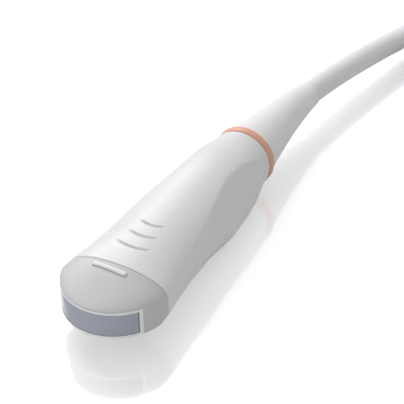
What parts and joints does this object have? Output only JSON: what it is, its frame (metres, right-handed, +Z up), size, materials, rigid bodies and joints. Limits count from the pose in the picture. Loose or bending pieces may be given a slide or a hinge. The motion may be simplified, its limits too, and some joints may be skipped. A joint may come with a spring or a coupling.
{
  "type": "ultrasound transducer probe",
  "caption": "Hand-held micro-convex ultrasound probe with a curved lens, gripped handle, tapered strain relief and a screened lead coiled to a plug-in console connector.",
  "frame": {"origin": "on the table, under the middle of the probe's length between the lens apex and the end of the strain relief, and under its centre plane", "axes": "+X along the probe from the lens towards the lead, +Y across it and away from the coil and the connector, +Z up from the table"},
  "size_m": [0.2543, 0.1228, 0.026],
  "materials": {
    "housing": "satin moulded white",
    "nose": "fine matt moulded off-white",
    "lens": "smooth satin silicone",
    "ring": "satin moulded salmon orange",
    "relief": "matt pale grey elastomer",
    "lead": "matt grey jacket",
    "matching_resin": "cast resin",
    "filled_resin": "cast filled resin",
    "ceramic": "sintered ceramic",
    "absorber": "dull cast absorber",
    "carrier": "moulded",
    "film": "polyimide film",
    "board": "solder mask",
    "black": "moulded",
    "brass": "turned",
    "copper": "tinned copper sheet",
    "aluminium": "plain sheet",
    "steel": "nickel plated",
    "strap": "hook and loop strap",
    "case": "fine matt moulded grey"
  },
  "bodies": {
    "root": {"nose_cap": "nose", "lens": "lens", "outer_matching_layer": "matching_resin", "inner_matching_layer": "filled_resin", "piezo_array": "ceramic", "backing_block": "absorber", "array_frame": "carrier", "flex_upper": "film", "flex_lower": "film", "upper_shell": "housing", "lower_shell": "housing", "shield_sleeve": "copper", "heat_spreader": "aluminium", "board_upper": "board", "board_lower": "board", "flex_header_upper": "black", "flex_header_lower": "black", "chip_1": "black", "chip_2": "black", "chip_3": "black", "chip_4": "black", "board_post_1": "brass", "board_post_2": "brass", "board_post_3": "brass", "board_post_4": "brass", "colour_ring": "ring", "strain_relief": "relief", "cable_core": "film", "crimp_ferrule": "brass", "cable_clamp": "black", "cable_lead": "lead", "cable_coil": "lead", "coil_tie_1": "strap", "coil_tie_2": "strap", "cable_tail": "lead", "connector_relief": "relief", "connector_lower": "case", "connector_upper": "case", "connector_screw_1": "steel", "connector_screw_2": "steel", "connector_screw_3": "steel", "connector_screw_4": "steel", "connector_shroud": "steel", "contact_block": "black", "connector_board": "board"}
  },
  "joints": []
}
